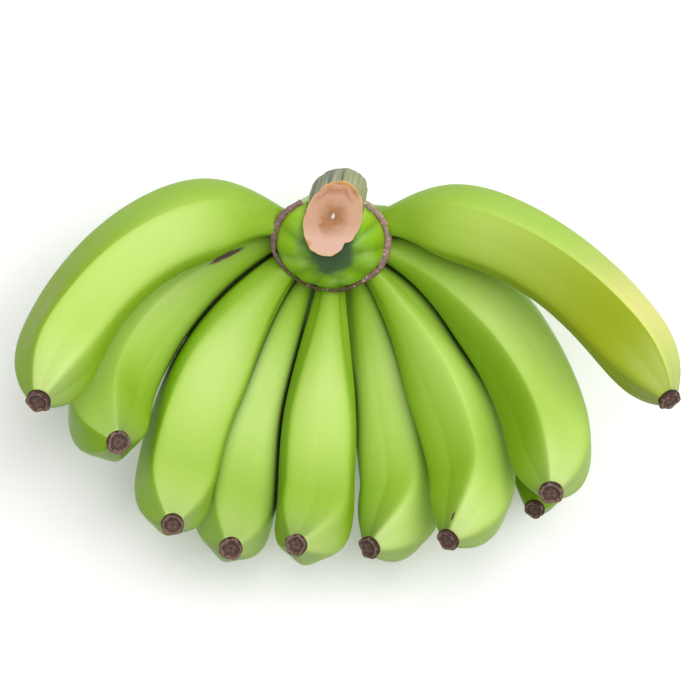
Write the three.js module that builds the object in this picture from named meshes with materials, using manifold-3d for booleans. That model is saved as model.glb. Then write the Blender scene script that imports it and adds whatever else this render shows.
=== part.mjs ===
// A hand of ten green bananas, as cut from the bunch and laid on its back.
// Units are millimetres, +Z is up and the surface it lies on is Z = 0.
//
// The hand is worked out in its own frame: the origin is the middle of the
// crown, +Z runs along the stalk, the fingers spread out from the crown
// towards -Y and curl up towards +Z, as they do on the plant. The stance then
// leans the whole hand forward and sets it down on the backs of three fingers.

import * as THREE from 'three';
import Module from 'manifold-3d';
import { mergeVertices } from 'three/addons/utils/BufferGeometryUtils.js';

const wasm = await Module();
wasm.setup();

// The stance

const HAND_LEAN = 41;             // how far the stalk leans forward, in degrees
const HAND_ROLL = -1.4;           // and how far to the side
const HAND_AT = [-5.6, 55.9, 71.6];   // where the middle of the crown comes to lie

const GAP = 0.3;                  // clear space between pieces that touch

// The crown, the scar round it and the stub of stalk that it grew on

const CROWN_RADIUS = 25;
const CROWN_SLANT = 0.3;          // how its underside leans to the front, as a slope
const CROWN_LOBES = 11;
const CROWN_LOBE_HEIGHT = 0.8;
const CROWN_PROFILE = [           // radius and height, from the underside to the top
  [9, -28], [16, -26], [21, -20], [23.6, -12], [24.6, -5], [CROWN_RADIUS, -1],
  [24.2, 1.2], [21, 3.6], [16, 6.4], [8, 9],
];

const SCAR_RADIUS = 26;
const SCAR_WIDTH = 2.6;
const SCAR_HEIGHT_SHARE = 0.7;    // its height as a share of its width
const SCAR_REACH = 150;           // degrees each way from the front
const SCAR_WANDERS_OUT = [{ size: 0.35, times: 3, start: 1 }, { size: 0.2, times: 8, start: 0 }];
const SCAR_WANDERS_UP = [{ size: 0.4, times: 4, start: 2 }];
const SCAR_WIDENS = [{ size: 0.32, times: 1, start: -0.9 }, { size: 0.19, times: 2, start: -0.9 },
  { size: 0.1, times: 11, start: 0 }];

const STALK_RADIUS = 12.8;
const STALK_OVAL = 0.07;          // how far its section is drawn out, as a share of the radius
const STALK_OVAL_AT = -48;        // towards here, degrees round
const STALK_BACK = 19;            // its axis lies this far behind the crown's
const STALK_SIDE = 1;             // and this far to the side
const STALK_SIDE_SLOPE = 0.12;    // how it leans to the side, as a slope
const STALK_FAR_END = -14;
const STALK_CUT = 8;              // height of the middle of the slanting cut
const STALK_CUT_SLOPE = 40.5;     // degrees
const STALK_FLUTES = 9;
const FLUTE_DEPTH = 0.01;         // as a share of the radius
const NOTCH_AT = 36;              // the nick in the cut's edge, degrees round
const NOTCH_WIDTH = 9;            // degrees
const NOTCH_DEPTH = 0.14;         // as a share of the radius

// The fingers

const NECK_START = 15;            // the necks' distance from the crown's axis
const NECK_SHARE = 0.29;          // neck thickness as a share of the finger's
const NECK_SQUEEZE = 0.3;         // how much narrower a neck's upper side is, as a share
const TIP_SHARE = 0.25;           // thickness at the flower end, likewise
const TAPER_FROM = 0.76;          // where it starts to close in to the flower end
const TAPER_POWER = 2.8;          // how late it closes in: higher is blunter
const NOSE_FROM = 0.72;           // where the flower end starts to turn aside
const RIDGES = [48, 145, 210, 275, 340];   // places of the five ridges round a finger
const RIDGE_DEPTH_NECK = 0.15;    // 0 is round, 1 is a sharp pentagon
const RIDGE_DEPTH_TIP = 0.75;
const RIDGE_FULL = 0.8;           // where along the finger the ridges are plainest

// Each finger: where its neck leaves the crown (degrees round from the front),
// at what height, the way it sets out (heading round, rise up), how far it
// then turns (swing round, bend up) and at what pace, how far its flower end
// is turned aside (nose), length, thickness, where along it the neck ends
// (below 0: inside the crown) and it is full, and the turn of its ridges.
const FINGERS = [
  { at: -93, height: -7, heading: -127, rise: -6, swing: 89, bend: 88, pace: 0.73,
    nose: -9, length: 173, girth: 41, neck: 0.01, full: 0.29, turn: -56 },
  { at: -80, height: -15, heading: -66, rise: -13, swing: 25, bend: 137, pace: 1.19,
    nose: 0, length: 174, girth: 40, neck: -0.16, full: 0.5, turn: -20 },
  { at: -53, height: -10, heading: -43.5, rise: 3, swing: 17, bend: 103, pace: 1.1,
    nose: -4, length: 165, girth: 39, neck: -0.08, full: 0.5, turn: 4 },
  { at: -25, height: -14, heading: -23, rise: -12, swing: 8, bend: 122.5, pace: 1.13,
    nose: -7, length: 174, girth: 41, neck: -0.08, full: 0.55, turn: -10 },
  { at: 5, height: -10, heading: -5.5, rise: 2, swing: 0, bend: 118, pace: 1.15,
    nose: -22, length: 165, girth: 38, neck: -0.01, full: 0.55, turn: -4 },
  { at: 29, height: -16, heading: 17, rise: -12.5, swing: -7, bend: 123.5, pace: 1.1,
    nose: -37, length: 172, girth: 41, neck: -0.08, full: 0.55, turn: 10 },
  { at: 48, height: -10, heading: 40, rise: 4, swing: -12.5, bend: 103, pace: 1.1,
    nose: -32, length: 166, girth: 40, neck: -0.03, full: 0.52, turn: 10 },
  { at: 74, height: -9, heading: 76, rise: 1, swing: -52, bend: 98, pace: 1,
    nose: -5, length: 172, girth: 41, neck: -0.08, full: 0.45, turn: 26 },
  { at: 90, height: -19, heading: 54, rise: -38, swing: -34, bend: 136, pace: 0.925,
    nose: -16, length: 198, girth: 36, neck: -0.12, full: 0.52, turn: 0 },
  { at: 92, height: -7, heading: 132, rise: -1, swing: -80, bend: 63, pace: 0.58,
    nose: 6, length: 179, girth: 38.5, neck: 0.02, full: 0.28, turn: 47 },
];
const OUTERMOST_FIRST = [1, 10, 3, 5, 8, 7, 2, 4, 6, 9];   // which finger lies over which

const FLOWER_CORNERS = 5;
const FLOWER_CORNER_DEPTH = 0.05; // as a share of the radius
const TIP_PROFILE = [             // radius as a share of the flower end's, and height
  [0.98, 0], [1.06, 1.1], [1.02, 2.3], [0.84, 3], [0.58, 2.1], [0.3, 1.8],
];

// How finely the surfaces are divided

const STATIONS = [0, 0.04, 0.08, 0.12, 0.17, 0.23, 0.30, 0.38, 0.46, 0.54, 0.62, 0.70,
  0.77, 0.83, 0.88, 0.92, 0.955, 0.98, 1];
const FACET_STEPS = 3;            // faces between one ridge and the next
const WALK_STEPS = 6;             // steps of the walk along a finger between stations
const TIP_SIDES = 10;
const CROWN_SIDES = 44;
const SCAR_STEPS = 48;
const SCAR_SIDES = 6;
const STALK_SIDES = 36;
const STALK_RINGS = 4;
const GROUND_SIDE = 600;
const GROUND_DEPTH = 60;

const GREEN = '#8cc63a';
const CROWN_GREEN = '#6ea51d';
const BROWN = '#5f4448';
const GREY_GREEN = '#8f9c78';

// Small helpers

const { degToRad: radians, lerp } = THREE.MathUtils;
const clamp01 = (value) => THREE.MathUtils.clamp(value, 0, 1);
const bump = (angle, centre, width) => Math.exp(-(((angle - centre) / width) ** 2));
const wave = (angle, { size, times, start }) => size * Math.sin(times * angle + start);
const waves = (list, angle) => list.reduce((sum, row) => sum + wave(angle, row), 0);

const stance = new THREE.Matrix4()
  .makeRotationFromEuler(new THREE.Euler(radians(HAND_LEAN), radians(HAND_ROLL), 0, 'YXZ'))
  .setPosition(...HAND_AT);

// The level direction at an angle round from the front of the hand.
function outward(azimuth) {
  return new THREE.Vector3(Math.sin(radians(azimuth)), -Math.cos(radians(azimuth)), 0);
}

function solidOf(positions, indices) {
  return new wasm.Manifold(new wasm.Mesh({
    numProp: 3,
    vertProperties: new Float32Array(positions),
    triVerts: new Uint32Array(indices),
  }));
}

// A closed solid through rings of points in the hand's frame, all of the same
// count, with its ends closed by fans. It comes out where the stance puts it.
function loft(rings) {
  const sides = rings[0].length;
  const points = rings.flat();
  const faces = [];
  for (let k = 0; k + 1 < rings.length; k++) {
    for (let s = 0; s < sides; s++) {
      const a = k * sides + s;
      const b = k * sides + (s + 1) % sides;
      faces.push(a, b, b + sides, a, b + sides, a + sides);
    }
  }
  const ends = [{ start: 0, outwards: -1 }, { start: points.length - sides, outwards: 1 }];
  for (const { start, outwards } of ends) {
    const ring = points.slice(start, start + sides);
    const middle = ring.reduce((sum, p) => sum.add(p), new THREE.Vector3()).divideScalar(sides);
    const centre = points.push(middle) - 1;
    for (let s = 0; s < sides; s++) {
      const edge = [start + s, start + (s + 1) % sides];
      faces.push(centre, ...(outwards > 0 ? edge : edge.reverse()));
    }
  }
  return solidOf(points.flatMap((p) => p.clone().applyMatrix4(stance).toArray()), faces);
}

// Cutting can leave scraps behind; only the largest body is the piece itself.
function largestBody(solid) {
  return solid.decompose().reduce((a, b) => (b.volume() > a.volume() ? b : a));
}

// Fingers

// How far a finger has swollen from its neck to its full thickness, 0 to 1.
function swell(t, { neck, full }) {
  return THREE.MathUtils.smoothstep(t, neck, full);
}

// How thick a finger is along its length, as a share of its full thickness.
function thickness(t, finger) {
  const taper = clamp01((t - TAPER_FROM) / (1 - TAPER_FROM)) ** TAPER_POWER;
  return lerp(NECK_SHARE, 1, swell(t, finger)) * (1 - (1 - TIP_SHARE) * taper);
}

// The five-sided section: how far out a sharp pentagon is in each direction.
const section = RIDGES.flatMap((ridge, k) => {
  const next = k + 1 < RIDGES.length ? RIDGES[k + 1] : RIDGES[0] + 360;
  const middle = (ridge + next) / 2;
  return Array.from({ length: FACET_STEPS }, (_, step) => {
    const angle = lerp(ridge, next, step / FACET_STEPS);
    return { angle, flat: Math.cos(radians(next - middle)) / Math.cos(radians(angle - middle)) };
  });
});

// The directions along the finger, to its side and to its hollow side.
function fingerFrame(finger, t) {
  const turned = t ** finger.pace;
  const level = outward(finger.heading + finger.swing * turned);
  const rise = radians(finger.rise + finger.bend * turned);
  const aside = radians(finger.nose * clamp01((t - NOSE_FROM) / (1 - NOSE_FROM)));
  const ahead = level.clone().multiplyScalar(Math.cos(rise)).setZ(Math.sin(rise));
  const across = new THREE.Vector3(-level.y, level.x, 0);
  return {
    along: ahead.clone().multiplyScalar(Math.cos(aside)).addScaledVector(across, Math.sin(aside)),
    side: across.clone().multiplyScalar(Math.cos(aside)).addScaledVector(ahead, -Math.sin(aside)),
    hollow: new THREE.Vector3().crossVectors(ahead, across),
  };
}

// Walks along the finger's middle line and notes each station's place.
function middleLine(finger) {
  const point = outward(finger.at).multiplyScalar(NECK_START).setZ(finger.height);
  let before = 0;
  return STATIONS.map((t) => {
    for (let s = 0; s < WALK_STEPS; s++) {
      const { along } = fingerFrame(finger, lerp(before, t, (s + 0.5) / WALK_STEPS));
      point.addScaledVector(along, finger.length * (t - before) / WALK_STEPS);
    }
    before = t;
    return { t, point: point.clone(), ...fingerFrame(finger, t) };
  });
}

function fingerSolid(finger, grow = 0) {
  return loft(middleLine(finger).map(({ t, point, side, hollow }) => {
    const depth = lerp(RIDGE_DEPTH_NECK, RIDGE_DEPTH_TIP, clamp01(t / RIDGE_FULL));
    const squeeze = NECK_SQUEEZE * (1 - swell(t, finger));
    return section.map(({ angle, flat }) => {
      const radius = finger.girth / 2 * thickness(t, finger) * (1 - depth * (1 - flat)) + grow;
      const a = radians(angle + finger.turn);
      const width = 1 - squeeze * clamp01(2 * Math.sin(a));
      return point.clone()
        .addScaledVector(side, radius * width * Math.cos(a))
        .addScaledVector(hollow, radius * Math.sin(a));
    });
  }));
}

// The dried remains of the flower: a short five-cornered stub with a hollow end.
function flowerEndSolid(finger) {
  const end = middleLine(finger).at(-1);
  const endRadius = finger.girth / 2 * TIP_SHARE;
  return loft(TIP_PROFILE.map(([share, out]) => Array.from({ length: TIP_SIDES }, (_, s) => {
    const a = 2 * Math.PI * s / TIP_SIDES;
    const radius = endRadius * share * (1 + FLOWER_CORNER_DEPTH * Math.cos(FLOWER_CORNERS * a));
    return end.point.clone()
      .addScaledVector(end.along, GAP + out)
      .addScaledVector(end.side, radius * Math.cos(a))
      .addScaledVector(end.hollow, radius * Math.sin(a));
  })));
}

// Crown, scar and stalk

function crownSolid(grow = 0) {
  const last = CROWN_PROFILE.length - 1;
  return loft(CROWN_PROFILE.map(([radius, height], k) => {
    const lobed = height > 0 && k < last ? CROWN_LOBE_HEIGHT : 0;
    const cap = k === 0 ? -grow : k === last ? grow : 0;
    return Array.from({ length: CROWN_SIDES }, (_, s) => {
      const azimuth = 360 * s / CROWN_SIDES;
      const p = outward(azimuth).multiplyScalar(radius + grow);
      p.y += CROWN_SLANT * Math.min(height, 0);
      return p.setZ(height + cap + lobed * Math.cos(radians(CROWN_LOBES * azimuth)));
    });
  }));
}

// A thin uneven ridge that runs round the crown's rim from one side of the
// stalk to the other; it is thickest on its right.
function scarSolid(grow = 0) {
  return loft(Array.from({ length: SCAR_STEPS + 1 }, (_, k) => {
    const azimuth = lerp(SCAR_REACH, -SCAR_REACH, k / SCAR_STEPS);
    const a = radians(azimuth);
    const out = outward(azimuth);
    const radius = SCAR_RADIUS + waves(SCAR_WANDERS_OUT, a);
    const centre = out.clone().multiplyScalar(radius).setZ(waves(SCAR_WANDERS_UP, a));
    const width = SCAR_WIDTH * (1 + waves(SCAR_WIDENS, a)) / 2;
    return Array.from({ length: SCAR_SIDES }, (_, s) => {
      const round = 2 * Math.PI * (s + 0.5) / SCAR_SIDES;
      return centre.clone()
        .addScaledVector(out, (width + grow) * Math.cos(round))
        .setZ(centre.z + (width * SCAR_HEIGHT_SHARE + grow) * Math.sin(round));
    });
  }));
}

// A short fluted piece of the bunch's stalk, cut square at the far end and
// aslant, with a nick in its edge, at the near one.
function stalkSolid(grow = 0) {
  const slope = Math.tan(radians(STALK_CUT_SLOPE));
  return loft(Array.from({ length: STALK_RINGS }, (_, k) => {
    const share = k / (STALK_RINGS - 1);
    return Array.from({ length: STALK_SIDES }, (_, s) => {
      const azimuth = 360 * s / STALK_SIDES;
      const flute = FLUTE_DEPTH * Math.cos(radians(STALK_FLUTES * azimuth));
      const oval = STALK_OVAL * Math.cos(radians(2 * (azimuth - STALK_OVAL_AT)));
      const notch = NOTCH_DEPTH * share * bump(azimuth, NOTCH_AT, NOTCH_WIDTH);
      const p = outward(azimuth).multiplyScalar(STALK_RADIUS * (1 + flute + oval - notch) + grow);
      const height = lerp(STALK_FAR_END - grow, STALK_CUT - slope * p.y + grow, share);
      p.x += STALK_SIDE - STALK_SIDE_SLOPE * (height - STALK_CUT);
      p.y += STALK_BACK;
      return p.setZ(height);
    });
  }));
}

// The surface that the hand lies on, as a block to trim the flat spots with.
function groundSolid() {
  const block = new THREE.BoxGeometry(GROUND_SIDE, GROUND_SIDE, GROUND_DEPTH);
  block.translate(0, 0, -GROUND_DEPTH / 2);
  block.deleteAttribute('normal');
  block.deleteAttribute('uv');
  const merged = mergeVertices(block);
  return solidOf(merged.attributes.position.array, merged.index.array);
}

// Assembly

function meshOf(name, solid, color, roughness) {
  const { vertProperties, triVerts } = solid.getMesh();
  const geometry = new THREE.BufferGeometry();
  geometry.setAttribute('position', new THREE.BufferAttribute(vertProperties, 3));
  geometry.setIndex(new THREE.BufferAttribute(triVerts, 1));
  const mesh = new THREE.Mesh(geometry, new THREE.MeshStandardMaterial({ color, roughness, metalness: 0 }));
  mesh.name = name;
  return mesh;
}

const ground = groundSolid();
const grownStalk = stalkSolid(GAP);
const grownCrown = crownSolid(GAP);
const grownScar = scarSolid(GAP).subtract(grownStalk);

const hand = new THREE.Group();
const crown = largestBody(crownSolid().subtract(grownStalk));
const scar = largestBody(scarSolid().subtract(grownCrown).subtract(grownStalk));
hand.add(meshOf('stalk', stalkSolid(), GREY_GREEN, 0.7));
hand.add(meshOf('crown', crown, CROWN_GREEN, 0.45));
hand.add(meshOf('bract_scar', scar, BROWN, 0.8));

const cutters = [grownCrown, grownStalk, grownScar, ground];
for (const number of OUTERMOST_FIRST) {
  const finger = FINGERS[number - 1];
  const label = String(number).padStart(2, '0');
  const solid = cutters.reduce((left, cutter) => left.subtract(cutter), fingerSolid(finger));
  hand.add(meshOf(`banana_${label}`, largestBody(solid), GREEN, 0.45));
  hand.add(meshOf(`flower_end_${label}`, flowerEndSolid(finger), BROWN, 0.85));
  cutters.push(fingerSolid(finger, GAP));
}

export default hand;
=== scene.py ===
# %% [markdown]
# # A hand of green bananas
# Bananas grow in tiers round a thick stalk, and one tier is called a hand. This one has ten unripe fingers
# in a fan, all curling up from one green crown. It lies on its back, on the lowest fingers, and a short
# piece of the stalk is still on it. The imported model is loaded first, because every piece replaces a node
# of it and has to lie where that node lies.

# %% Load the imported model
import math

import bpy
import numpy as np
from mathutils import Matrix, Vector
from mathutils.bvhtree import BVHTree


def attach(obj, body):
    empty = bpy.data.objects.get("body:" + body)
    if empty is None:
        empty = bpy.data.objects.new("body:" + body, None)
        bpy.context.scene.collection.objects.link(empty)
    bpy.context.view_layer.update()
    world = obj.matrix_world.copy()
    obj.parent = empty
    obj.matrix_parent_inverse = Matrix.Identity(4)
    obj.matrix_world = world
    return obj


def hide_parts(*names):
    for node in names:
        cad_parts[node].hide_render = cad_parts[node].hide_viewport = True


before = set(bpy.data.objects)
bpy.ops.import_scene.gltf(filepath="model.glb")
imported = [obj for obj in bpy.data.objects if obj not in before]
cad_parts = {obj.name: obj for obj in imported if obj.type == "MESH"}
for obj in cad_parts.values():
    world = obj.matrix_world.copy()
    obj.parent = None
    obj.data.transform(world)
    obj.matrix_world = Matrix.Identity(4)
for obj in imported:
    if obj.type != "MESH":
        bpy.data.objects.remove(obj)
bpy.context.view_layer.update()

MM = 0.001
print("packed nodes:", len(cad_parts))

# %% [markdown]
# ## The hand's own frame
# It is far easier to model the hand as it hangs on the plant than as it lies. So every piece is made with
# the middle of the crown at the origin and the stalk upright, the fingers spreading towards -Y and curling
# up towards +Z. One matrix, the stance, then leans the finished piece forward and lays it down.

# %% The stance
HAND_LEAN = 41                              # degrees
HAND_ROLL = -1.4
HAND_AT = Vector((-5.6, 55.9, 71.6)) * MM   # where the middle of the crown comes to lie


def tilted(lean, roll):
    """The turn that leans something forward and rolls it to the side."""
    return Matrix.Rotation(math.radians(roll), 4, "Y") @ Matrix.Rotation(math.radians(lean), 4, "X")


STANCE = Matrix.Translation(HAND_AT) @ tilted(HAND_LEAN, HAND_ROLL)

# %% [markdown]
# ## The camera
# The photograph is taken from above, looking 38 degrees off the stalk's axis. A long lens from a little over
# a metre gives its flat perspective. The camera is placed by the crown's middle: the photograph shows it up
# and to the left of the picture's centre, and the camera moves the other way by as much.

# %% Place the camera
VIEW_OFF_STALK = 38                         # degrees
CAMERA_DISTANCE = 1100 * MM
PICTURE = 700                               # pixels, each way
CROWN_PIXEL = (331, 243)
PIXEL = 0.45 * MM                           # what one pixel covers at the crown

view = tilted(HAND_LEAN - VIEW_OFF_STALK, HAND_ROLL)
aside = (PICTURE / 2 - CROWN_PIXEL[0]) * PIXEL
down = (PICTURE / 2 - CROWN_PIXEL[1]) * PIXEL
bpy.ops.object.camera_add()
camera = bpy.context.object
camera.matrix_world = Matrix.Translation(HAND_AT) @ view @ Matrix.Translation((aside, -down, CAMERA_DISTANCE))
camera.data.lens = camera.data.sensor_width * CAMERA_DISTANCE / (PICTURE * PIXEL)
bpy.context.scene.camera = camera
print("camera at", [round(c, 3) for c in camera.matrix_world.translation], "lens", round(camera.data.lens, 1))

# %% [markdown]
# ## Light and floor
# The light comes nearly from the camera, through a wide lamp a little up and to the right. So each finger is
# palest along its middle, and the flanks that face left are darker. A weak lamp on the left and the bright
# surroundings keep the shadows green instead of black. The floor is a plain pale sheet.

# %% Lamps, surroundings and floor


def lamp(name, place, width, power):
    """A square soft lamp that points at the middle of the hand."""
    bpy.ops.object.light_add(type="AREA", location=place)
    light = bpy.context.object
    light.name = name
    light.data.size = width
    light.data.energy = power
    light.rotation_euler = (Vector((0, 0, 0.06)) - light.location).to_track_quat("-Z", "Y").to_euler()
    return light


lamp("key_lamp", (0.28, 0.2, 1.3), 0.9, 17)
lamp("fill_lamp", (-0.9, 0.2, 0.9), 0.8, 1.2)
world = bpy.data.worlds.new("surroundings")
bpy.context.scene.world = world
world.use_nodes = True
world.node_tree.nodes["Background"].inputs["Color"].default_value = (1, 1, 1, 1)
world.node_tree.nodes["Background"].inputs["Strength"].default_value = 0.34
bpy.context.scene.view_settings.view_transform = "Standard"

bpy.ops.object.select_all(action="DESELECT")
bpy.ops.mesh.primitive_plane_add(size=6)
floor = bpy.context.object
floor.name = "floor"

# %% [markdown]
# ## Helpers
# A few small tools serve every piece. They read and write a mesh's points as one array, apply a modifier,
# keep a value for each point, and lay a finished piece down. The spindle is how a turned shape is drawn by
# hand: it starts as one flat circle, which is extruded ring by ring and resized each time.

# %% Select, read and write points, apply modifiers


def select_only(piece):
    """Selects one piece, so that the next operator acts on nothing else."""
    bpy.ops.object.select_all(action="DESELECT")
    piece.select_set(True)
    bpy.context.view_layer.objects.active = piece


def points(piece):
    """The mesh's points as rows of an array."""
    flat = np.empty(len(piece.data.vertices) * 3)
    piece.data.vertices.foreach_get("co", flat)
    return flat.reshape(-1, 3)


def move_points(piece, places):
    """Puts the mesh's points where the rows of an array say."""
    piece.data.vertices.foreach_set("co", places.ravel())
    piece.data.update()


def finish_with(piece, kind, **settings):
    """Adds a modifier, sets it up and applies it."""
    select_only(piece)
    modifier = piece.modifiers.new(kind, kind)
    for name, value in settings.items():
        setattr(modifier, name, value)
    bpy.ops.object.modifier_apply(modifier=modifier.name)


def smooth(piece, levels):
    """Subdivides a piece into a smooth one."""
    finish_with(piece, "SUBSURF", levels=levels, render_levels=levels)
    bpy.ops.object.shade_smooth()


def note(piece, name, values):
    """Keeps a value for each point, for the materials to read."""
    kind = "FLOAT_VECTOR" if values.ndim == 2 else "FLOAT"
    attribute = piece.data.attributes.new(name, kind, "POINT")
    attribute.data.foreach_set("vector" if values.ndim == 2 else "value", values.ravel())


# %% The spindle


def spindle(name, sides, profile):
    """A closed round solid on the Z axis, from a list of (height, radius) in millimetres."""
    height, radius = np.array(profile[0]) * MM
    bpy.ops.object.select_all(action="DESELECT")
    bpy.ops.mesh.primitive_circle_add(
        vertices=sides, radius=radius, fill_type="NGON", location=(0, 0, height))
    piece = bpy.context.object
    piece.name = piece.data.name = name
    bpy.ops.object.transform_apply(location=True)
    bpy.ops.object.mode_set(mode="EDIT")
    bpy.ops.mesh.select_all(action="SELECT")
    for next_height, next_radius in np.array(profile[1:]) * MM:
        bpy.ops.mesh.extrude_region_move(TRANSFORM_OT_translate={"value": (0, 0, next_height - height)})
        grown = next_radius / radius
        bpy.ops.transform.resize(value=(grown, grown, 1), center_override=(0, 0, next_height))
        height, radius = next_height, next_radius
    bpy.ops.mesh.select_all(action="SELECT")
    bpy.ops.mesh.normals_make_consistent(inside=False)
    bpy.ops.object.mode_set(mode="OBJECT")
    return piece


def press_flat(piece):
    """Flattens what would sink into the floor."""
    places = points(piece)
    places[:, 2] = np.maximum(places[:, 2], 0)
    move_points(piece, places)


def lay_down(piece):
    """Puts a piece made in the hand's frame where the hand lies, and presses it flat on the floor."""
    select_only(piece)
    piece.matrix_world = STANCE
    bpy.ops.object.transform_apply(location=True, rotation=True, scale=True)
    press_flat(piece)


def finished(piece, slot, *nodes):
    """The piece is done: it belongs to the hand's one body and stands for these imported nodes."""
    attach(piece, "root")
    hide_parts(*nodes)
    piece.data.calc_loop_triangles()
    print(piece.name, len(piece.data.loop_triangles), "triangles")


# %% [markdown]
# ## The fingers' numbers
# Each banana leaves the crown through a thin neck, swells, and closes in again to the dried flower end. It
# sets out in one direction and then turns steadily up, so a heading, a rise and two turns say its whole
# course. The fingers are alike but never equal, so each has a row of its own. Height, length and girth are
# in millimetres, and the angles in degrees. The finger swells from the share "neck" of its length, which
# may lie inside the crown and so be below 0, to the share "full".

# %% One row for each finger
NECK_START = 15                             # millimetres from the crown's axis
NECK_SHARE = 0.29                           # thickness of the neck, as a share of the finger's
NECK_SQUEEZE = 0.3                          # how much narrower its upper side is, as a share
TIP_SHARE = 0.25                            # and of the flower end
TAPER_FROM = 0.76                           # where along the finger it starts to close in
TAPER_POWER = 2.8                           # how late it closes in
NOSE_FROM = 0.72                            # where the flower end starts to turn aside

COLUMNS = ("at", "height", "heading", "rise", "swing", "bend", "pace",
           "nose", "length", "girth", "neck", "full", "turn")
ROWS = (
    (-93, -7, -127, -6, 89, 88, 0.73, -9, 173, 41, 0.01, 0.29, -56),
    (-80, -15, -66, -13, 25, 137, 1.19, 0, 174, 40, -0.16, 0.5, -20),
    (-53, -10, -43.5, 3, 17, 103, 1.1, -4, 165, 39, -0.08, 0.5, 4),
    (-25, -14, -23, -12, 8, 122.5, 1.13, -7, 174, 41, -0.08, 0.55, -10),
    (5, -10, -5.5, 2, 0, 118, 1.15, -22, 165, 38, -0.01, 0.55, -4),
    (29, -16, 17, -12.5, -7, 123.5, 1.1, -37, 172, 41, -0.08, 0.55, 10),
    (48, -10, 40, 4, -12.5, 103, 1.1, -32, 166, 40, -0.03, 0.52, 10),
    (74, -9, 76, 1, -52, 98, 1, -5, 172, 41, -0.08, 0.45, 26),
    (90, -19, 54, -38, -34, 136, 0.925, -16, 198, 36, -0.12, 0.52, 0),
    (92, -7, 132, -1, -80, 63, 0.58, 6, 179, 38.5, 0.02, 0.28, 47),
)
FINGERS = {number: dict(zip(COLUMNS, row)) for number, row in enumerate(ROWS, 1)}
print(len(FINGERS), "fingers, from", min(r[8] for r in ROWS), "to", max(r[8] for r in ROWS), "mm long")

# %% [markdown]
# ## A straight banana
# A bent thing is easiest to shape straight and bend afterwards. The straight finger is a spindle whose
# rings follow the thickness along a banana. Subdivision makes it fine, and then its circle becomes the blunt
# five-sided section of an unripe fruit: the points between two ridges move in towards a flat. The flats
# hardly show at the neck and are plainest near the flower end.

# %% Thickness and section
STATIONS = (0, 0.04, 0.08, 0.12, 0.17, 0.23, 0.30, 0.38, 0.46, 0.54, 0.62, 0.70,
            0.77, 0.83, 0.88, 0.92, 0.955, 0.98, 0.995, 1)
RIDGES = np.array((48, 145, 210, 275, 340))     # degrees round the finger
RIDGE_DEPTH_NECK = 0.15                         # 0 is round, 1 is a sharp pentagon
RIDGE_DEPTH_TIP = 0.75
RIDGE_FULL = 0.8                                # where along the finger the ridges are plainest
RIDGE_SOFT = 9                                  # degrees over which a ridge is rounded
SIDES = 32


def swell(t, finger):
    """How far a finger has swollen from its neck to its full thickness, 0 to 1."""
    grown = np.clip((t - finger["neck"]) / (finger["full"] - finger["neck"]), 0, 1)
    return grown ** 2 * (3 - 2 * grown)


def thickness(t, finger):
    """How thick a finger is at the share t of its length, as a share of its full thickness."""
    taper = np.clip((t - TAPER_FROM) / (1 - TAPER_FROM), 0, 1) ** TAPER_POWER
    return (NECK_SHARE + (1 - NECK_SHARE) * swell(t, finger)) * (1 - (1 - TIP_SHARE) * taper)


def round_the_finger(piece):
    """Each point's angle round the finger, the flat it is on and its angle off the nearest ridge."""
    straight = points(piece)
    turned = np.degrees(np.arctan2(straight[:, 1], straight[:, 0])) - RIDGES[0]
    past_first = turned % 360
    edges = np.append(RIDGES - RIDGES[0], 360)
    flat = np.clip(np.searchsorted(edges, past_first, side="right") - 1, 0, len(RIDGES) - 1)
    half = np.diff(edges)[flat] / 2
    off_middle = past_first - edges[flat] - half
    return flat, half, off_middle


def five_sided(piece, length):
    """Moves a round finger's points in to the five flats."""
    flat, half, off_middle = round_the_finger(piece)
    off_ridge = half - np.abs(off_middle)
    eased = np.hypot(off_ridge, RIDGE_SOFT) - RIDGE_SOFT
    reach = np.cos(np.radians(half)) / np.cos(np.radians(half - eased))
    places = points(piece)
    grown = np.clip(places[:, 2] / (length * RIDGE_FULL), 0, 1)
    depth = RIDGE_DEPTH_NECK + (RIDGE_DEPTH_TIP - RIDGE_DEPTH_NECK) * grown
    places[:, :2] *= (1 - depth * (1 - reach))[:, None]
    move_points(piece, places)
    return flat, off_ridge


# %% [markdown]
# ## Bending it
# The middle line starts at the neck and walks on in the direction that the row gives for that point. Three
# arrows travel along it: ahead, to the side, and to the hollow of the curve. A point of the straight finger
# keeps its distance to the side and to the hollow and is carried to its place on the line. The upper side
# of a neck is drawn in on the way, which leaves grooves between the necks. Each point first notes its
# straight place, so that a pattern can later follow the peel instead of cutting through it.

# %% Walk the middle line and bend a piece along it
WALK = np.linspace(0, 1, 241)


def arrows(finger, t):
    """Ahead, side and hollow at the share t, each as rows of a unit vector."""
    turned = t ** finger["pace"]
    heading = np.radians(finger["heading"] + finger["swing"] * turned)
    rise = np.radians(finger["rise"] + finger["bend"] * turned)
    nose = np.radians(finger["nose"] * np.clip((t - NOSE_FROM) / (1 - NOSE_FROM), 0, 1))[:, None]
    level = np.stack((np.sin(heading), -np.cos(heading), 0 * heading), 1)
    ahead = level * np.cos(rise)[:, None]
    ahead[:, 2] = np.sin(rise)
    side = np.stack((np.cos(heading), np.sin(heading), 0 * heading), 1)
    hollow = np.cross(ahead, side)
    return (ahead * np.cos(nose) + side * np.sin(nose), side * np.cos(nose) - ahead * np.sin(nose), hollow)


def middle_line(finger):
    """The points of a finger's middle line, one for each step of the walk."""
    at = math.radians(finger["at"])
    start = np.array((math.sin(at) * NECK_START, -math.cos(at) * NECK_START, finger["height"])) * MM
    halfway = (WALK[1:] + WALK[:-1]) / 2
    steps = arrows(finger, halfway)[0] * np.diff(WALK)[:, None] * finger["length"] * MM
    return start + np.vstack((np.zeros(3), np.cumsum(steps, 0)))


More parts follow.
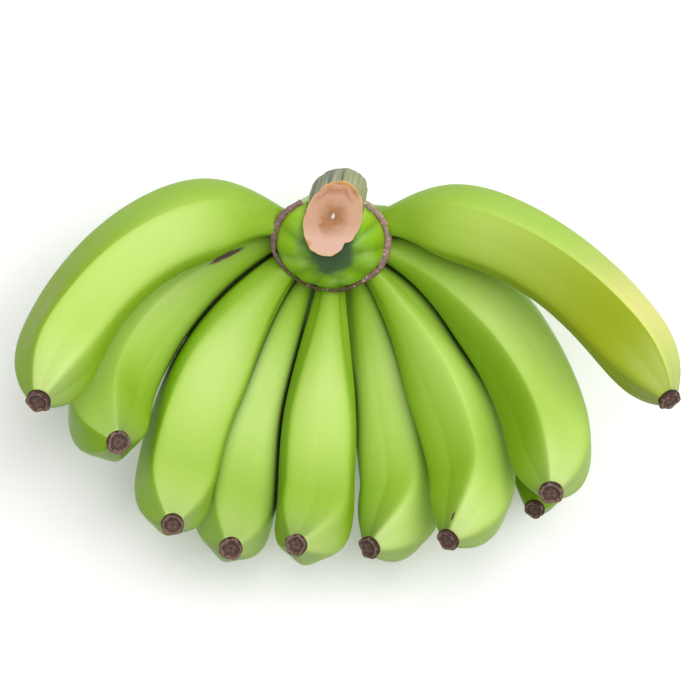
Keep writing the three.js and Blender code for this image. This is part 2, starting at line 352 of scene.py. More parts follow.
def bend(piece, finger):
    """Carries a straight piece on the Z axis to the finger's middle line."""
    straight = points(piece)
    length = finger["length"] * MM
    t = np.clip(straight[:, 2] / length, 0, 1)
    line = middle_line(finger)
    on_line = np.stack([np.interp(t, WALK, line[:, axis]) for axis in range(3)], 1)
    ahead, side, hollow = arrows(finger, t)
    turn = math.radians(finger["turn"])
    x = straight[:, 0] * math.cos(turn) - straight[:, 1] * math.sin(turn)
    y = straight[:, 0] * math.sin(turn) + straight[:, 1] * math.cos(turn)
    upper = np.clip(2 * y / np.maximum(np.hypot(x, y), MM), 0, 1)
    x *= 1 - NECK_SQUEEZE * (1 - swell(t, finger)) * upper
    past = (straight[:, 2] - t * length)[:, None]
    note(piece, "straight", straight)
    move_points(piece, on_line + side * x[:, None] + hollow * y[:, None] + ahead * past)


# %% [markdown]
# ## What each point knows
# The peel is not one green. A finger notes flat by flat where it is olive or yellow, where it has a brown
# mark, and which flats get a painted shade of deeper green for facing away from the key lamp. It also notes
# how squarely it faces that lamp, for a pale painted highlight. The finish reads these notes later. They are
# made while the finger is straight, except for the painted highlight, which needs the bent one.

# %% Note the tints, the painted shade and the painted highlight
FLAT_TINTS = {                              # finger, flat, share along, reach, strength
    # The first rows are painted shade: a deeper green on flats that face away from the key lamp
    "painted_shade_flat": ((1, 2, 0.8, 0.4, 0.9), (2, 1, 0.8, 0.4, 0.35), (2, 2, 0.9, 0.4, 1), (3, 1, 0.8, 0.4, 0.8),
             (3, 2, 0.8, 0.4, 1), (4, 1, 0.8, 0.4, 0.5), (5, 1, 0.8, 0.4, 0.6), (6, 1, 0.8, 0.4, 0.4),
             (7, 0, 0.6, 0.4, 0.3), (8, 0, 0.6, 0.5, 0.7), (8, 1, 0.7, 0.5, 0.8),
             (9, 0, 0.8, 0.5, 1), (9, 1, 0.8, 0.5, 1), (9, 4, 0.8, 0.5, 1)),
    "olive": ((10, 4, 0.8, 0.4, 1), (10, 0, 0.72, 0.4, 1), (1, 2, 0.75, 0.2, 0.4)),
    "yellow": ((10, 3, 0.8, 0.15, 0.9),),
}
MARKS = (                                   # finger, degrees round, share along, width, reach, strength
    (2, 143, 0.2, 7, 0.07, 0.9),
    (7, 58, 0.97, 5, 0.012, 1.0),
)
KEY_LAMP_SIDE = np.array((0.12, 0.6, 0.79))         # the key lamp's direction, in the hand's frame, for the painted highlight
HIGHLIGHT_FROM = 0.25                           # how squarely a point has to face it for the first painted highlight
HIGHLIGHT_FULL = 0.95                           # and for all of it


def bell(value, centre, width):
    """1 at the centre, and fading away on both sides."""
    return np.exp(-((value - centre) / width) ** 2)


def note_tints(piece, number, length, flat):
    """Notes where a finger has a tint or a brown mark of its own."""
    straight = points(piece)
    turned = np.degrees(np.arctan2(straight[:, 1], straight[:, 0]))
    along = straight[:, 2] / length
    note(piece, "along", along)
    for tint, rows in FLAT_TINTS.items():
        amount = np.zeros(len(straight))
        for finger, on_flat, place, reach, strength in rows:
            if finger == number:
                amount += strength * (flat == on_flat) * bell(along, place, reach)
        note(piece, tint, np.clip(amount, 0, 1))
    brown = np.zeros(len(straight))
    for finger, side, place, width, reach, strength in MARKS:
        if finger == number:
            brown += strength * bell((turned - side + 180) % 360 - 180, 0, width) * bell(along, place, reach)
    note(piece, "brown", brown)


def note_painted_light(piece):
    """Notes how squarely each point faces the key lamp, for the painted highlight."""
    normals = np.empty(len(piece.data.vertices) * 3)
    piece.data.vertex_normals.foreach_get("vector", normals)
    facing = normals.reshape(-1, 3) @ KEY_LAMP_SIDE
    note(piece, "painted_light", np.clip((facing - HIGHLIGHT_FROM) / (HIGHLIGHT_FULL - HIGHLIGHT_FROM), 0, 1) ** 1.3)

# %% [markdown]
# ## The fingers
# Now each finger goes through all the steps: a spindle, made smooth and five-sided, bent, and made a little
# uneven by a cloud texture. Where it passes under the scar ring, its neck is kept below the ring. A cell
# further on lets them press on each other.

# %% Make the ten fingers
UNEVEN = 0.6 * MM                           # how far the flesh swells and dips
SCAR_RADIUS = 26 * MM                       # the scar ring on the crown's rim
UNDER_SCAR = -0.6 * MM                      # how high a neck may come under it
BY_THE_SCAR = 5 * MM                        # how far out that counts
lumps = bpy.data.textures.new("lumps", "CLOUDS")
lumps.noise_scale = 0.035


def keep_under_scar(piece):
    """Lowers the part of a neck that would cover the scar ring."""
    places = points(piece)
    past_scar = np.hypot(places[:, 0], places[:, 1]) - SCAR_RADIUS
    ceiling = np.where(past_scar < BY_THE_SCAR, UNDER_SCAR + 2 * np.maximum(past_scar, 0), np.inf)
    places[:, 2] = np.minimum(places[:, 2], ceiling)
    move_points(piece, places)


def make_finger(number, finger):
    length = finger["length"] * MM
    profile = [(t * finger["length"], finger["girth"] / 2 * thickness(t, finger)) for t in STATIONS]
    piece = spindle(f"finger_{number:02d}", SIDES, profile)
    smooth(piece, 2)
    flat, off_ridge = five_sided(piece, length)
    note(piece, "ridge", np.exp(-(off_ridge / RIDGE_SOFT) ** 2))
    note_tints(piece, number, length, flat)
    bend(piece, finger)
    note_painted_light(piece)
    finish_with(piece, "DISPLACE", texture=lumps, strength=UNEVEN, mid_level=0.5)
    keep_under_scar(piece)
    return piece


fingers = {number: make_finger(number, finger) for number, finger in FINGERS.items()}
for number, piece in fingers.items():
    lay_down(piece)
print("bent", len(fingers), "fingers")

# %% [markdown]
# ## Pressed together
# Fingers grow against each other and flatten where they touch. Each pair that meets has one that keeps its
# shape and one that gives way. A Shrinkwrap modifier set to outside moves only the points of the second
# that lie inside the first, and leaves a dent that fits it.

# %% The fingers that give way
GIVES_WAY_TO = ((2, 1), (2, 3), (4, 3), (4, 5), (6, 5), (7, 8), (6, 7), (9, 8), (9, 7), (8, 10), (9, 10))
for softer, harder in GIVES_WAY_TO:
    finish_with(fingers[softer], "SHRINKWRAP", target=fingers[harder], wrap_mode="OUTSIDE", offset=0.6 * MM)
for number, piece in fingers.items():
    press_flat(piece)
    finished(piece, "peel", f"banana_{number:02d}")

# %% [markdown]
# ## Where they touch
# Hardly any light gets in where two fingers meet. So each point of a finger notes how near the next finger
# is, in millimetres, and the peel's finish gets darker there.

# %% Note how near the next finger is
FAR = 12 * MM                               # beyond this the next finger casts no shade
seen = bpy.context.evaluated_depsgraph_get()
near_to = {number: BVHTree.FromObject(piece, seen) for number, piece in fingers.items()}
for number, piece in fingers.items():
    mates = [pair[1 - pair.index(number)] for pair in GIVES_WAY_TO if number in pair]
    gaps = [min(near_to[mate].find_nearest(spot, FAR)[3] or FAR for mate in mates) for spot in points(piece)]
    note(piece, "gap", np.array(gaps) / MM)
    print(piece.name, "touches", mates)

# %% [markdown]
# ## The dried flower ends
# What is left of the flower is a short five-cornered stub, dry and dark, with a rim and a hollow end. It is
# a small spindle that goes out, over the rim and back into the hollow. It is bent with its finger, so it
# sits square on the end of it, and a fine cloud texture crumples it.

# %% Make the ten flower ends
STUB = ((-1.5, 0.8), (-0.3, 1.0), (0.4, 1.0), (1.2, 1.05), (2.0, 1.05), (2.5, 0.97), (2.6, 0.86),
        (2.3, 0.76), (2, 0.64), (1.8, 0.52), (1.7, 0.4), (1.6, 0.26), (1.5, 0.08))
crumple = bpy.data.textures.new("crumple", "CLOUDS")
crumple.noise_scale = 0.0028
CORNERED = 0.04                             # how five-cornered a stub is, as a share of its radius
CROOKED = 0.03                              # and how far from even, likewise
RIM_WAVES = 0.2 * MM                        # how far its rim goes up and down
CRUMPLED = 0.45 * MM


def make_flower_end(number, finger):
    radius = finger["girth"] / 2 * TIP_SHARE
    piece = spindle(f"dried_flower_{number:02d}", 30, [(out, radius * share) for out, share in STUB])
    smooth(piece, 2)
    places = points(piece)
    around = np.arctan2(places[:, 1], places[:, 0])
    rim = np.clip(places[:, 2] / (2 * MM), 0, 1)
    corners = 1 + rim * (CORNERED * np.cos(5 * around + number) + CROOKED * np.cos(3 * around + 2 * number))
    note(piece, "out", np.hypot(places[:, 0], places[:, 1]) / (radius * MM))
    note(piece, "rim", rim)
    places[:, :2] *= corners[:, None]
    places[:, 2] += RIM_WAVES * rim * np.cos(5 * around + number) + finger["length"] * MM
    move_points(piece, places)
    bend(piece, finger)
    finish_with(piece, "DISPLACE", texture=crumple, strength=CRUMPLED, mid_level=0.5)
    lay_down(piece)
    finished(piece, "dry_brown", f"flower_end_{number:02d}")
    return piece


flower_ends = [make_flower_end(number, finger) for number, finger in FINGERS.items()]

# %% [markdown]
# ## The crown
# All the necks grow from one green cushion. It is a spindle again, from the knob underneath up to the
# shallow dome inside the scar. The dome is gathered into soft lobes with grooves between them, about one
# lobe for each neck, so after the subdivision its points are lifted and lowered by a wave round the axis.
# The crown notes its grooves, the painted shade round the stalk and below the rim, the painted shade
# under the front necks, and how far in a point is.

# %% Make the crown
CROWN_PROFILE = ((-28, 9), (-26, 16), (-20, 21), (-12, 23.6), (-5, 24.6), (-1, 25), (1.2, 24.2),
                 (3.6, 21), (5.2, 18.5), (6.4, 16), (8, 12), (9, 8))
CROWN_RADIUS = 25 * MM
CROWN_SLANT = 0.3                           # the lean of the part under the rim
LOBES = 11
LOBE_HEIGHT = 1.8 * MM
SHADE_WIDTH = 16 * MM                       # the shaded patch round the stalk
SHADE_DEPTH = 21 * MM
SHADE_MIDDLE = 4 * MM
UNDER_RIM = 4 * MM                          # how far below the rim the painted shade grows quite dark
TO_THE_FRONT = 12 * MM                      # and how far forward
STALK_RADIUS = 12.8
STALK_AT = Vector((1, 19, 0)) * MM
UNDER_STALK = 6 * MM                        # how far the dome sinks where the stalk stands on it

crown = spindle("crown_cushion", 66, CROWN_PROFILE)
smooth(crown, 2)
places = points(crown)
around = np.arctan2(places[:, 0], -places[:, 1])
out = np.hypot(places[:, 0], places[:, 1]) / CROWN_RADIUS
lobe_angle = LOBES * (around + 0.12 * np.sin(2 * around + 1)) / 2
wave = np.hypot(np.cos(lobe_angle), 0.35) - 0.75
on_dome = np.clip(places[:, 2] / (2 * MM) + 0.6, 0, 1) * np.clip(out * 2.2 - 0.5, 0, 1)
places[:, 2] += LOBE_HEIGHT * wave * on_dome * (1.1 - 0.5 * out)
places[:, 1] += CROWN_SLANT * np.minimum(places[:, 2], 0)
off_stalk = np.hypot(places[:, 0] - STALK_AT.x, places[:, 1] - STALK_AT.y) / MM
places[:, 2] -= UNDER_STALK * np.clip(STALK_RADIUS - 1 - off_stalk, 0, 1) * (places[:, 2] > 0)
note(crown, "groove", on_dome * (1 - np.abs(np.cos(lobe_angle))))
below = np.clip(-places[:, 2] / UNDER_RIM, 0, 1)
off_shade = np.hypot(places[:, 0] / SHADE_WIDTH, (places[:, 1] - SHADE_MIDDLE) / SHADE_DEPTH)
note(crown, "shade", below + off_shade)
# painted shade under the front necks, where hardly any light comes
note(crown, "under", below * np.clip(-places[:, 1] / TO_THE_FRONT, 0, 1))
note(crown, "inward", 1 - out)
move_points(crown, places)
lay_down(crown)
finished(crown, "crown_skin", "crown")

# %% [markdown]
# ## The scar ring
# A leathery bract once covered the young hand, and where it fell off, a thin brown ridge runs round the
# crown. A small flattened circle, spun most of the way round the axis, makes it. Its course and width then
# wander by a few slow and quick waves: it is narrow at the front and widest on its right.

# %% Make the scar ring
SCAR_WIDTH = 2.6 * MM
SCAR_HEIGHT_SHARE = 0.7
SCAR_REACH = math.radians(150)              # each way from the front
SCAR_WANDERS_OUT = ((0.35, 3, 1), (0.2, 8, 0))
SCAR_WANDERS_UP = ((0.4, 4, 2),)
SCAR_CRUMPLED = 0.7 * MM
SCAR_WIDENS = ((0.32, 1, -0.9), (0.19, 2, -0.9), (0.1, 11, 0), (0.08, 29, 1), (0.05, 53, 2))


def waves(rows, angle):
    """The sum of waves, each row giving its size, how many times it goes round and where it starts."""
    return sum(size * np.sin(times * angle + start) for size, times, start in rows)


bpy.ops.object.select_all(action="DESELECT")
bpy.ops.mesh.primitive_circle_add(
    vertices=10, radius=SCAR_WIDTH / 2, rotation=(math.pi / 2, 0, math.pi / 2 + SCAR_REACH),
    location=(SCAR_RADIUS * math.sin(SCAR_REACH), -SCAR_RADIUS * math.cos(SCAR_REACH), 0))
scar = bpy.context.object
scar.name = scar.data.name = "scar_ring"
scar.scale = (1, SCAR_HEIGHT_SHARE, 1)
bpy.ops.object.transform_apply(location=True, rotation=True, scale=True)
bpy.ops.object.mode_set(mode="EDIT")
bpy.ops.mesh.select_all(action="SELECT")
bpy.ops.mesh.spin(steps=180, angle=2 * SCAR_REACH, center=(0, 0, 0), axis=(0, 0, 1))
bpy.ops.mesh.select_all(action="SELECT")
bpy.ops.mesh.fill_holes(sides=0)
bpy.ops.mesh.normals_make_consistent(inside=False)
bpy.ops.object.mode_set(mode="OBJECT")
smooth(scar, 1)
places = points(scar)
around = np.arctan2(places[:, 0], -places[:, 1])
width = 1 + waves(SCAR_WIDENS, around)
out = (np.hypot(places[:, 0], places[:, 1]) - SCAR_RADIUS) * width
radius = SCAR_RADIUS + out + MM * waves(SCAR_WANDERS_OUT, around)
places[:, 0] = radius * np.sin(around)
places[:, 1] = -radius * np.cos(around)
places[:, 2] = places[:, 2] * width + MM * waves(SCAR_WANDERS_UP, around)
move_points(scar, places)
finish_with(scar, "DISPLACE", texture=crumple, strength=SCAR_CRUMPLED, mid_level=0.5)
note(scar, "around", around)
note(scar, "edge", np.abs(out) / (SCAR_WIDTH / 2))
lay_down(scar)
finished(scar, "dry_brown", "bract_scar")
print("the scar ring spans", np.degrees((around.min(), around.max())).round(), "degrees")

# %% [markdown]
# ## The stub of stalk
# The stub is a fluted stem, cut with one slanting stroke. So it starts as a spindle that is too long, gets
# its flutes, and a bisect with fill takes the top off and closes it. Two more bisects, just under the cut,
# hold the edge sharp when the stub is subdivided. The cut face is extruded in place and drawn in, again and
# again, so that it has rings of points to dent and to colour.

# %% Make the stub of stalk
STALK_SIDE_SLOPE = 0.12                     # how far the stalk leans to one side
STALK_FOOT = -14                            # where its spindle begins, millimetres
STALK_FLUTED = 32                           # and how far up from there the notch reaches its full depth
CUT_HEIGHT = 8 * MM
CUT_SLOPE = math.radians(40.5)
CUT_ROUNDING = 0.6 * MM                     # points this close under the cut belong to it
OVAL = ((0.07, 2, 3.25),)                   # waves: size, times round, start
FLUTES = ((0.01, 9, 1.57), (0.008, 16, 0.5), (0.006, 27, 1))
NOTCH_AT = math.radians(36)
NOTCH_WIDTH = math.radians(9)
NOTCH_DEPTH = 0.14
PITH_WIDTH = 2.2 * MM
PITH_DEPTH = 0.9 * MM
OUTLINE_AT = 11.8                           # where the yellow rim of the cut begins, millimetres
cut_normal = Vector((0, math.sin(CUT_SLOPE), math.cos(CUT_SLOPE)))

stalk = spindle("stalk_stub", 96, [
    (height, STALK_RADIUS) for height in (STALK_FOOT, -13, -9, -3, 3, 9, 14, 19, 26)])
places = points(stalk)
around = np.arctan2(places[:, 0], -places[:, 1])
share = np.clip((places[:, 2] / MM - STALK_FOOT) / STALK_FLUTED, 0, 1)
flute = waves(OVAL + FLUTES, around)
notch = NOTCH_DEPTH * share * np.exp(-((around - NOTCH_AT) / NOTCH_WIDTH) ** 2)
places[:, :2] *= (1 + flute - notch)[:, None]
move_points(stalk, places)

select_only(stalk)
bpy.ops.object.mode_set(mode="EDIT")
for below, cut in ((1.6, False), (0.5, False), (0, True)):
    bpy.ops.mesh.select_all(action="SELECT")
    bpy.ops.mesh.bisect(
        plane_co=(0, 0, CUT_HEIGHT - below * MM / math.cos(CUT_SLOPE)), plane_no=cut_normal,
        use_fill=cut, clear_outer=cut)
for share in (0.97, 0.92, 0.85, 0.82, 0.78, 0.72, 0.65, 0.55, 0.4):
    bpy.ops.mesh.extrude_region_move()
    bpy.ops.transform.resize(value=(share, share, share), center_override=(0, 0, CUT_HEIGHT))
bpy.ops.mesh.select_all(action="SELECT")
bpy.ops.mesh.normals_make_consistent(inside=False)
bpy.ops.object.mode_set(mode="OBJECT")
stalk.data.materials.append(None)
stalk.data.materials.append(None)
for face in stalk.data.polygons:
    face.material_index = int(face.normal.dot(cut_normal) > 0.98 and face.center.z > -8 * MM)
print("cut faces:", sum(face.material_index for face in stalk.data.polygons))
smooth(stalk, 2)

places = points(stalk)
depth = (places - np.array((0, 0, CUT_HEIGHT))) @ np.array(cut_normal)
pith = np.hypot(places[:, 0], places[:, 1] * 1.2)
on_cut = np.clip(1 + depth / CUT_ROUNDING, 0, 1)
places -= np.array(cut_normal) * (on_cut * PITH_DEPTH * np.exp(-(pith / PITH_WIDTH) ** 2))[:, None]
note(stalk, "straight", places)
outline = OUTLINE_AT * (1 + waves(OVAL, np.arctan2(places[:, 0], -places[:, 1])))
note(stalk, "edge", np.clip(np.hypot(places[:, 0], places[:, 1]) / MM - outline, 0, 1))
places[:, 0] += STALK_AT.x - STALK_SIDE_SLOPE * (places[:, 2] - CUT_HEIGHT)
places[:, 1] += STALK_AT.y
move_points(stalk, places)
lay_down(stalk)
finished(stalk, "stalk_fibre", "stalk")

# %% [markdown]
# ## How the finishes are built
# A material is a small board of nodes, each fed by the ones before it. One helper adds a node, sets it up
# and plugs its inputs, and returns the output asked for, so that a finish reads like a recipe.

# %% Nodes


def colour(code):
    """A colour written as on a screen, as the linear values that the nodes use."""
    levels = [int(code[k:k + 2], 16) / 255 for k in (1, 3, 5)]
    return [v / 12.92 if v <= 0.04045 else ((v + 0.055) / 1.055) ** 2.4 for v in levels] + [1]


class Board:
    """The nodes of one material."""

    def __init__(self, name, **sockets):
        self.material = bpy.data.materials.new(name)
        self.material.use_nodes = True
        self.tree = self.material.node_tree
        self.shader = self.tree.nodes["Principled BSDF"]
        for socket, value in sockets.items():
            self.shader.inputs[socket.replace("_", " ")].default_value = value

    def add(self, kind, inputs, output=0, **settings):
        """Adds a node. inputs maps a socket's name or number to a value or to another node's output."""
        node = self.tree.nodes.new("ShaderNode" + kind)
        for name, value in settings.items():
            setattr(node, name, value)
        for socket, value in inputs.items():
            self.feed(node.inputs[socket], value)
        return node.outputs[output]

    def feed(self, socket, value):
        if isinstance(value, bpy.types.NodeSocket):
            self.tree.links.new(value, socket)
        else:
            socket.default_value = value

    def attribute(self, name, output="Fac"):
        return self.add("Attribute", {}, output, attribute_name=name)

    def place(self):
        return self.add("TexCoord", {}, "Object")

    def noise(self, vector, scale, detail=3, roughness=0.5):
        return self.add("TexNoise", {
            "Vector": vector, "Scale": scale, "Detail": detail, "Roughness": roughness})

    def stretch(self, vector, scale, shift=(0, 0, 0)):
        return self.add("Mapping", {"Vector": vector, "Scale": scale, "Location": shift})

    def span(self, value, low, high, to_low=0.0, to_high=1.0):
        """Maps low..high of a value to to_low..to_high, and holds it there."""
        return self.add("MapRange", {"Value": value, "From Min": low, "From Max": high,
                                     "To Min": to_low, "To Max": to_high})

    def math(self, operation, first, second=0.0):
        return self.add("Math", {0: first, 1: second}, operation=operation)

    def ramp(self, value, stops):
        """A colour ramp from (place, colour code) pairs."""
        node = self.tree.nodes.new("ShaderNodeValToRGB")
        while len(node.color_ramp.elements) < len(stops):
            node.color_ramp.elements.new(0.5)
        for element, (at, code) in zip(node.color_ramp.elements, stops):
            element.position = at
            element.color = colour(code)
        self.feed(node.inputs[0], value)
        return node.outputs[0]

    def mix(self, share, first, second, blend="MIX"):
        """Mixes two colours, given as codes or as outputs."""
        node = self.tree.nodes.new("ShaderNodeMix")
        node.data_type = "RGBA"
        node.blend_type = blend
        self.feed(node.inputs[0], share)
        self.feed(node.inputs[6], colour(first) if isinstance(first, str) else first)
        self.feed(node.inputs[7], colour(second) if isinstance(second, str) else second)
        return node.outputs[2]

    def bump(self, height, strength, distance, onto=None):
        inputs = {"Height": height, "Strength": strength, "Distance": distance}
        if onto is not None:
            inputs["Normal"] = onto
        return self.add("Bump", inputs, "Normal")

    def finish(self, **outputs):
        for socket, value in outputs.items():
            self.feed(self.shader.inputs[socket.replace("_", " ")], value)
        return self.material


# %% [markdown]
# ## Green peel
# An unripe peel is a waxy, slightly soft green. It is duller at the neck and turns grey-green where it closes
# to the flower end. A pale painted highlight lies on the side that faces the key lamp. Flats that face away
# get a painted shade of deeper green, and where two fingers touch, painted shade makes the peel nearly black.
# The last finger begins to ripen, with an olive and a yellow side, and two have a small brown mark. Fine
# streaks run along the peel. They follow the straight place that each point noted before the finger was
# bent, so they bend with it.

# %% Make the peel


def make_peel():
    board = Board("green_peel", Coat_Weight=0.22, Coat_Roughness=0.45, Specular_IOR_Level=0.22,
                  Subsurface_Weight=0.08, Subsurface_Radius=(0.4, 0.9, 0.1), Subsurface_Scale=0.003)
    straight = board.attribute("straight", "Vector")
    along = board.attribute("along")
    base = board.ramp(along, ((0, "#84a040"), (0.08, "#84ac20"), (0.2, "#8cb608"), (0.6, "#96c00a"),
                              (0.86, "#94bc14"), (0.95, "#84aa2c"), (1, "#6f8844")))
    cloudy = board.noise(board.place(), 30, 2)
    base = board.mix(board.span(cloudy, 0.35, 0.7, 0, 0.3), base, "#82ac04")
    # painted highlight: a pale wash where a point faces the key lamp, weaker towards the neck
    painted_light_share = board.math("MULTIPLY", board.attribute("painted_light"), board.span(along, 0.06, 0.4, 0, 0.6))
    base = board.mix(painted_light_share, base, "#cde288")
    streaks = board.noise(board.stretch(straight, (900, 900, 20)), 1, 3)
    base = board.mix(board.span(streaks, 0.45, 0.75, 0, 0.06), base, "#c8e084")
    base = board.mix(board.math("MULTIPLY", board.attribute("ridge"), 0.04), base, "#c0dc70")
    # painted shade: a deeper green on the flats that face away from the key lamp
    base = board.mix(board.attribute("painted_shade_flat"), base, "#7ba404")
    # painted shade: darker, down to nearly black, where the next finger is near
    gap = board.attribute("gap")
    base = board.mix(board.span(gap, 7, 1, 0, 0.35), base, "#6c9800")
    base = board.mix(board.span(gap, 4.2, 1.6, 0, 0.4), base, "#33500c")
    base = board.mix(board.span(gap, 2.4, 1.1, 0, 0.88), base, "#1a2a0a")
    base = board.mix(board.attribute("olive"), base, "#8a9a02")
    base = board.mix(board.attribute("yellow"), base, "#dcd97c")
    specks = board.noise(board.place(), 900, 1)
    base = board.mix(board.span(specks, 0.72, 0.77, 0, 0.25), base, "#5c7d25")
    ragged = board.math("MULTIPLY", board.attribute("brown"), board.span(streaks, 0.3, 0.5, 0.6, 1))
    base = board.mix(board.span(ragged, 0.35, 0.6), base, "#5a4038")
    height = board.math("ADD", board.noise(board.stretch(straight, (700, 700, 90)), 1, 3),
                        board.noise(board.place(), 1800, 2))
    roughness = board.span(board.noise(board.place(), 120, 3), 0.3, 0.7, 0.45, 0.55)
    return board.finish(Base_Color=base, Roughness=roughness, Normal=board.bump(height, 0.08, 0.0006))


peel = make_peel()
for piece in fingers.values():
    piece.data.materials.append(peel)

# %% [markdown]
# ## Green crown
# The crown is the same skin, stretched into soft lobes. Painted shade darkens the grooves between the lobes,
# and towards the stalk painted shade turns the green dull and bluish. Underneath, between the necks, hardly
# any light comes, so the painted shade there is nearly black.

# %% Make the crown's skin


def make_crown_skin():
    board = Board("crown_skin", Roughness=0.5, Coat_Weight=0.5, Coat_Roughness=0.4, Specular_IOR_Level=0.4)
    base = board.ramp(board.attribute("inward"), (
        (0, "#8fa52a"), (0.06, "#8fb814"), (0.25, "#8cbc14"), (0.5, "#7cae10")))
    # painted shade in the grooves between the lobes
    base = board.mix(board.span(board.attribute("groove"), 0.2, 0.95, 0, 0.45), base, "#567f10")
    base = board.mix(board.span(board.noise(board.place(), 90, 2), 0.5, 0.7, 0, 0.45), base, "#aecf7c")
    soft = board.span(board.noise(board.place(), 130, 2), 0.3, 0.7, -0.12, 0.12)
    # painted shade round the foot of the stalk and below the rim, dull and bluish
    shade = board.ramp(board.math("ADD", board.attribute("shade"), soft), (
        (0, "#ffffff"), (0.6, "#f0f0f0"), (0.8, "#909090"), (1, "#000000")))
    base = board.mix(shade, base, "#2c4436")
    # painted shade, nearly black, under the front necks
    base = board.mix(board.attribute("under"), base, "#1c2e10")
    height = board.noise(board.place(), 700, 4)
    return board.finish(Base_Color=base, Normal=board.bump(height, 0.12, 0.0006))


crown.data.materials.append(make_crown_skin())

# %% [markdown]
# ## Dry brown
# The flower ends and the scar are dead, dry tissue: matt, dark purplish brown, and paler and pinkish in
# parts. A flower end is paler on its rim, darker on the walls of its hollow and nearly black round its foot.

# %% Make the dry brown finishes


def make_flower_brown():
    board = Board("dried_flower", Roughness=0.8, Specular_IOR_Level=0.25)
    grain = board.span(board.noise(board.place(), 500, 4, 0.6), 0.3, 0.7, -0.16, 0.16)
    base = board.ramp(board.math("ADD", board.attribute("out"), grain), (
        (0, "#5a443e"), (0.3, "#6c544a"), (0.5, "#54403a"), (0.66, "#4a3632"), (0.78, "#725a50"),
        (0.9, "#856c5e"), (1, "#4a3430")))
    base = board.mix(board.span(board.attribute("rim"), 0.2, 0.8, 1, 0), base, "#3a2620")
    fine = board.noise(board.place(), 1300, 4, 0.7)
    return board.finish(Base_Color=base, Normal=board.bump(fine, 0.5, 0.0006))


def make_scar_brown():
    board = Board("scar_brown", Roughness=0.8, Specular_IOR_Level=0.25)
    base = board.ramp(board.span(board.attribute("around"), -2.6, 2.6), (
        (0, "#8a6c66"), (0.25, "#7c6062"), (0.42, "#54452c"), (0.55, "#54452c"), (0.66, "#8a6a6a"),
        (0.8, "#ab8682"), (0.92, "#a88a80"), (1, "#9a9070")))
    base = board.mix(board.span(board.noise(board.place(), 260, 4, 0.6), 0.5, 0.75, 0, 0.4), base, "#5c444a")
    flecks = board.noise(board.place(), 600, 3, 0.7)
    where = board.span(board.attribute("around"), 0.2, 0.5, 0.35, 0.9)
    base = board.mix(board.math("MULTIPLY", board.span(flecks, 0.56, 0.66), where), base, "#dcc6ba")
    fine = board.noise(board.place(), 900, 4, 0.7)
    return board.finish(Base_Color=base, Normal=board.bump(fine, 0.4, 0.0006))


flower_brown = make_flower_brown()
for piece in flower_ends:
    piece.data.materials.append(flower_brown)
scar.data.materials.append(make_scar_brown())

# %% [markdown]
# ## The stalk's wall and its cut face
# The wall is grey-green and fibrous, with dark lines in its grooves. The cut is fresh, moist and pinkish,
# darker brown round the white pith, with an orange-brown crust near the upper edge and a thin yellow rim.

# %% Make the stalk's finishes
CUT_SPOT = (-0.0105, -0.0085, 0.0152)       # an orange stain near the lower left edge of the cut
CUT_PATCH = (-0.0035, -0.0035, 0.011)       # a brown patch beside the pith


def make_stalk_wall():
    board = Board("stalk_wall", Roughness=0.75, Specular_IOR_Level=0.3)
    straight = board.attribute("straight", "Vector")
    fibres = board.noise(board.stretch(straight, (520, 520, 30)), 1, 4)
    base = board.ramp(board.span(fibres, 0.34, 0.62), (
        (0, "#3f4a44"), (0.3, "#76806a"), (0.7, "#96997f"), (1, "#b3b296")))
    side = board.add("SeparateXYZ", {0: straight}, "X")
    base = board.mix(board.span(side, -0.002, 0.012, 0, 0.6), base, "#a8aa74")
    base = board.mix(board.span(board.noise(board.place(), 90, 3), 0.45, 0.65, 0, 0.5), base, "#8b8d76")
    return board.finish(Base_Color=base, Normal=board.bump(fibres, 0.6, 0.0012))


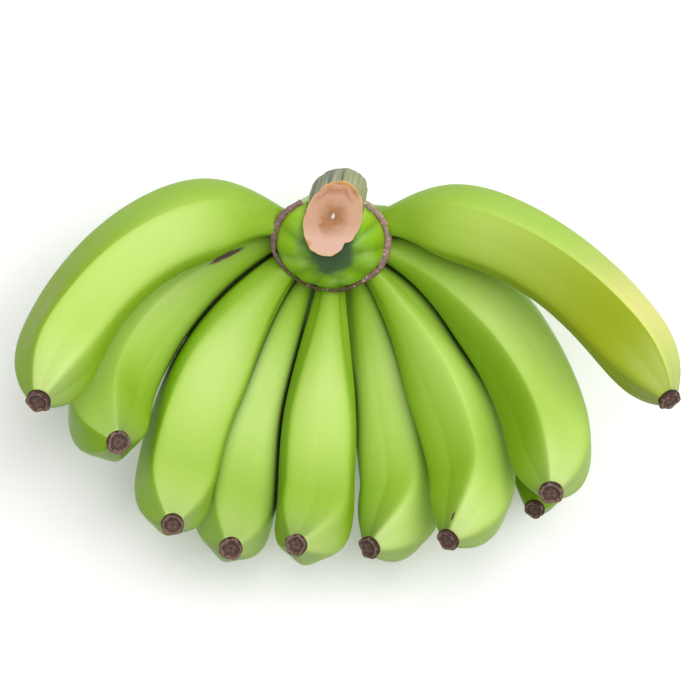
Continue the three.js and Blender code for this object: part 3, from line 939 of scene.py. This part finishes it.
def make_cut_face():
    """Read in the straight stalk's frame, in metres: x across the cut and y up it, as the photo sees it."""
    board = Board("cut_face", Roughness=0.7, Specular_IOR_Level=0.25)
    straight = board.attribute("straight", "Vector")
    spread = board.add("VectorMath", {0: board.stretch(straight, (1, 1, 0))}, "Value", operation="LENGTH")
    wander = board.span(board.noise(board.place(), 240, 3), 0.3, 0.7, -0.0012, 0.0012)
    spread = board.math("ADD", spread, wander)
    base = board.ramp(board.span(spread, 0, 0.0145), (
        (0, "#ddd2c8"), (0.025, "#cdbdb0"), (0.06, "#96684a"), (0.2, "#a0714f"), (0.34, "#b08464"),
        (0.55, "#bf957a"), (0.8, "#c2977c"), (1, "#bd906e")))
    patch = board.add("VectorMath", {0: straight, 1: CUT_PATCH}, "Value", operation="DISTANCE")
    patch = board.math("ADD", patch, board.math("MULTIPLY", wander, 1.3))
    base = board.mix(board.span(patch, 0.0018, 0.0036, 0.75, 0), base, "#a26a42")
    up = board.add("SeparateXYZ", {0: straight}, "Y")
    low = board.span(up, -0.002, -0.007, 0, 0.5)
    base = board.mix(low, base, "#dcb8a8")
    upper = board.span(up, 0.004, 0.0085)
    arc = board.ramp(board.span(spread, 0.006, 0.014), (
        (0.2, "#000000"), (0.45, "#e0e0e0"), (0.7, "#505050"), (1, "#ffffff")))
    base = board.mix(board.math("MULTIPLY", board.math("MULTIPLY", upper, arc), 0.85), base, "#8f5532")
    ragged = board.noise(board.place(), 420, 4)
    crust = board.math("MULTIPLY", board.span(up, 0.0095, 0.012), board.span(ragged, 0.4, 0.58, 0, 0.9))
    base = board.mix(crust, base, "#c08238")
    edge = board.attribute("edge")
    base = board.mix(board.span(edge, 0.35, 0.9, 0, 0.85), base, "#cdb35e")
    spot = board.add("VectorMath", {0: straight, 1: CUT_SPOT}, "Value", operation="DISTANCE")
    base = board.mix(board.span(spot, 0.0006, 0.0022, 0.8, 0), base, "#c87a34")
    height = board.noise(board.place(), 500, 5)
    return board.finish(Base_Color=base, Normal=board.bump(height, 0.25, 0.001))


stalk.data.materials[0] = make_stalk_wall()
stalk.data.materials[1] = make_cut_face()

# %% [markdown]
# ## The floor's finish
# A plain pale sheet, with hardly any gloss. A faint glow of its own keeps the shadow on it light.

# %% Make the floor's finish
floor.data.materials.append(Board("pale_floor", Base_Color=(0.9, 0.9, 0.9, 1), Roughness=0.9,
                             Emission_Color=(1, 1, 1, 1), Emission_Strength=0.15).material)
